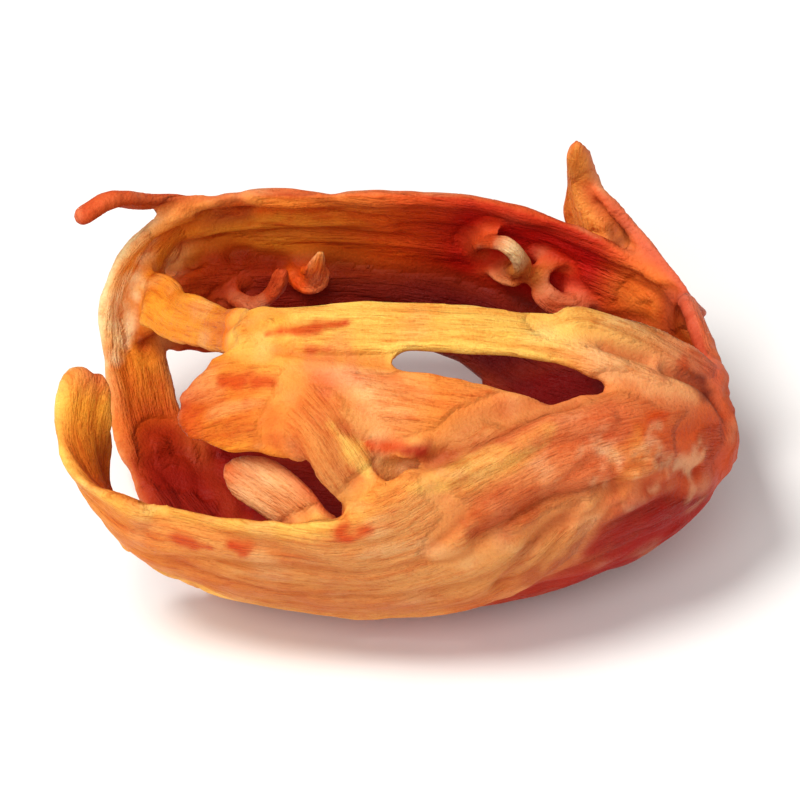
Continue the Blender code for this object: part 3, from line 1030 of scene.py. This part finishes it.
def aril_skin():
    """The fused, wrinkled and coloured skin, as a mesh object in metres."""
    mesh, samples = loose_lobes()
    mesh = fused(mesh)
    edges = read_edges(mesh)
    points = eased(read_points(mesh), edges, 2)
    mesh.vertices.foreach_set("co", points.ravel())
    mesh.update()
    at = lobe_pairs(mesh, samples)
    height, pattern = relief(points, at)
    points = points + read_normals(mesh) * eased(height, edges, 1)[:, None]
    points[:, 2] = points[:, 2].clip(0)
    colour = tinted(points, at, pattern, edges)
    mesh.vertices.foreach_set("co", ((points + np.array(SHIFT)) * MM).ravel())
    mesh.update()
    skin = mesh.color_attributes.new("skin", "FLOAT_COLOR", "POINT")
    skin.data.foreach_set("color", np.hstack([colour, np.ones((len(colour), 1))]).ravel())
    most = np.zeros(len(points))
    np.maximum.at(most, at["index"], at["weight"])
    main = at["weight"] >= most[at["index"]]
    along = np.zeros((len(points), 3))
    lines = np.stack([at["run"], at["side"] * at["half"], at["lobe"] * LOBE_SPACING], 1)
    along[at["index"][main]] = lines[main]
    mesh.attributes.new("flow", "FLOAT_VECTOR", "POINT").data.foreach_set("vector", along.ravel())
    broken = np.linalg.norm(along[edges[:, 0]] - along[edges[:, 1]], axis=1) > LARGEST_STEP
    seam = np.zeros(len(points))
    seam[edges[broken].ravel()] = 1
    for _ in range(SEAM_RINGS):
        seam[edges[seam[edges].max(1) > 0].ravel()] = 1
    clear = (1 - seam) * smoothstep(eased(1 - seam, edges, SEAM_EASING), 0.35, 0.95)
    mesh.attributes.new("clear", "FLOAT", "POINT").data.foreach_set("value", clear)
    mesh.shade_smooth()
    obj = bpy.data.objects.new("aril_skin", mesh)
    bpy.context.scene.collection.objects.link(obj)
    return obj


def node(tree, kind, **inputs):
    """A shader node with these input values; an underscore in a name stands for a space."""
    made = tree.nodes.new("ShaderNode" + kind)
    for name, value in inputs.items():
        made.inputs[name.replace("_", " ")].default_value = value
    return made


def ranged(tree, source, low, high, to_low, to_high):
    """A value mapped smoothly from one range to another."""
    made = node(tree, "MapRange", From_Min=low, From_Max=high, To_Min=to_low, To_Max=to_high)
    made.interpolation_type = "SMOOTHSTEP"
    tree.links.new(source, made.inputs["Value"])
    return made.outputs["Result"]


def scaled_noise(tree, vector, scale, size, detail):
    """Noise on a vector that is stretched first."""
    mapping = node(tree, "Mapping", Scale=scale)
    grain = node(tree, "TexNoise", Scale=size, Detail=detail, Roughness=0.55)
    tree.links.new(vector, mapping.inputs["Vector"])
    tree.links.new(mapping.outputs["Vector"], grain.inputs["Vector"])
    return grain.outputs["Fac"]


def math_node(tree, operation, first, second):
    made = tree.nodes.new("ShaderNodeMath")
    made.operation = operation
    for value, socket in zip((first, second), made.inputs):
        if isinstance(value, float):
            socket.default_value = value
        else:
            tree.links.new(value, socket)
    return made.outputs["Value"]


def shaded(tree, colour, amount, tint):
    """The colour drawn towards itself times a tint, by an amount from 0 to 1."""
    made = tree.nodes.new("ShaderNodeMix")
    made.data_type = "RGBA"
    made.blend_type = "MULTIPLY"
    colour_in, tint_in, out = made.inputs[6], made.inputs[7], made.outputs[2]
    tint_in.default_value = (*tint, 1)
    tree.links.new(amount, made.inputs[0])
    tree.links.new(colour, colour_in)
    return out


def attribute(tree, name):
    made = tree.nodes.new("ShaderNodeAttribute")
    made.attribute_name = name
    return made


def dried_skin():
    """Waxy dried skin: lengthwise fibres, fine grain, and light that goes a little way in."""
    material = bpy.data.materials.new("dried_skin")
    material.use_nodes = True
    tree = material.node_tree
    shader = tree.nodes["Principled BSDF"]
    skin = attribute(tree, "skin").outputs["Color"]
    flow = attribute(tree, "flow").outputs["Vector"]
    clear = attribute(tree, "clear").outputs["Fac"]
    place_in = tree.nodes.new("ShaderNodeTexCoord").outputs["Object"]
    fibres = scaled_noise(tree, flow, (0.42, 3.4, 1.0), 1.0, 4.0)
    threads = scaled_noise(tree, flow, (1.3, 9.0, 1.0), 1.0, 3.0)
    blotches = scaled_noise(tree, place_in, (1.0, 1.0, 1.0), 900.0, 4.0)
    grain = scaled_noise(tree, place_in, (1.0, 1.0, 1.0), 5200.0, 3.0)
    fibre_share = math_node(tree, "MULTIPLY", ranged(tree, fibres, 0.48, 0.66, 0.0, 0.8), clear)
    thread_share = math_node(tree, "MULTIPLY", ranged(tree, threads, 0.5, 0.68, 0.0, 0.7), clear)
    colour = shaded(tree, skin, fibre_share, (0.9, 0.68, 0.52))
    colour = shaded(tree, colour, thread_share, (0.84, 0.64, 0.5))
    colour = shaded(tree, colour, ranged(tree, blotches, 0.52, 0.68, 0.0, 0.5), (0.92, 0.7, 0.58))
    colour = shaded(tree, colour, ranged(tree, grain, 0.5, 0.72, 0.0, 0.5), (0.84, 0.72, 0.62))
    tree.links.new(colour, shader.inputs["Base Color"])
    tree.links.new(ranged(tree, blotches, 0.3, 0.7, 0.68, 0.46), shader.inputs["Roughness"])
    threads_high = math_node(tree, "MULTIPLY", threads, clear)
    fibres_high = math_node(tree, "MULTIPLY", fibres, clear)
    height = math_node(tree, "ADD", math_node(tree, "MULTIPLY", fibres_high, 1.6), threads_high)
    height = math_node(tree, "ADD", height, math_node(tree, "MULTIPLY", grain, 0.6))
    bump = node(tree, "Bump", Strength=0.9, Distance=0.00016)
    tree.links.new(height, bump.inputs["Height"])
    tree.links.new(bump.outputs["Normal"], shader.inputs["Normal"])
    shader.inputs["Subsurface Weight"].default_value = 0.12
    shader.inputs["Subsurface Radius"].default_value = (1.0, 0.32, 0.12)
    shader.inputs["Subsurface Scale"].default_value = 0.0009
    shader.inputs["Specular IOR Level"].default_value = 0.14
    return material


def pale_floor():
    bpy.ops.mesh.primitive_plane_add(size=3)
    floor = bpy.context.object
    floor.name = "floor"
    material = bpy.data.materials.new("floor")
    material.use_nodes = True
    shader = material.node_tree.nodes["Principled BSDF"]
    shader.inputs["Base Color"].default_value = (0.95, 0.95, 0.94, 1)
    shader.inputs["Roughness"].default_value = 0.8
    floor.data.materials.append(material)
    return floor


def aim(obj, target):
    obj.rotation_mode = "QUATERNION"
    obj.rotation_quaternion = (target - obj.location).to_track_quat("-Z", "Y")


def soft_light(name, location, size, watts, colour):
    light = bpy.data.lights.new(name, "AREA")
    light.shape = "DISK"
    light.size = size
    light.energy = watts
    light.color = colour
    obj = bpy.data.objects.new(name, light)
    obj.location = location
    bpy.context.scene.collection.objects.link(obj)
    aim(obj, TARGET)


def studio():
    """Soft light from above and the left, a weak fill, and the camera at the photograph's angle."""
    world = bpy.data.worlds.new("studio")
    world.use_nodes = True
    world.node_tree.nodes["Background"].inputs["Color"].default_value = (1, 1, 1, 1)
    world.node_tree.nodes["Background"].inputs["Strength"].default_value = SKY_STRENGTH
    bpy.context.scene.world = world
    bpy.context.scene.view_settings.view_transform = "Standard"
    for light in LIGHTS:
        soft_light(*light)
    data = bpy.data.cameras.new("camera")
    camera = bpy.data.objects.new("camera", data)
    angle = math.radians(ELEVATION)
    camera.location = TARGET + DISTANCE * Vector((0, -math.cos(angle), math.sin(angle)))
    aim(camera, TARGET)
    data.sensor_width = SENSOR
    data.lens = SENSOR * DISTANCE / FRAME_WIDTH
    data.clip_start = 0.01
    bpy.context.scene.collection.objects.link(camera)
    bpy.context.scene.camera = camera


studio()
skin = aril_skin()
skin.data.materials.append(dried_skin())
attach(skin, "root")
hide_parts("aril")
pale_floor()
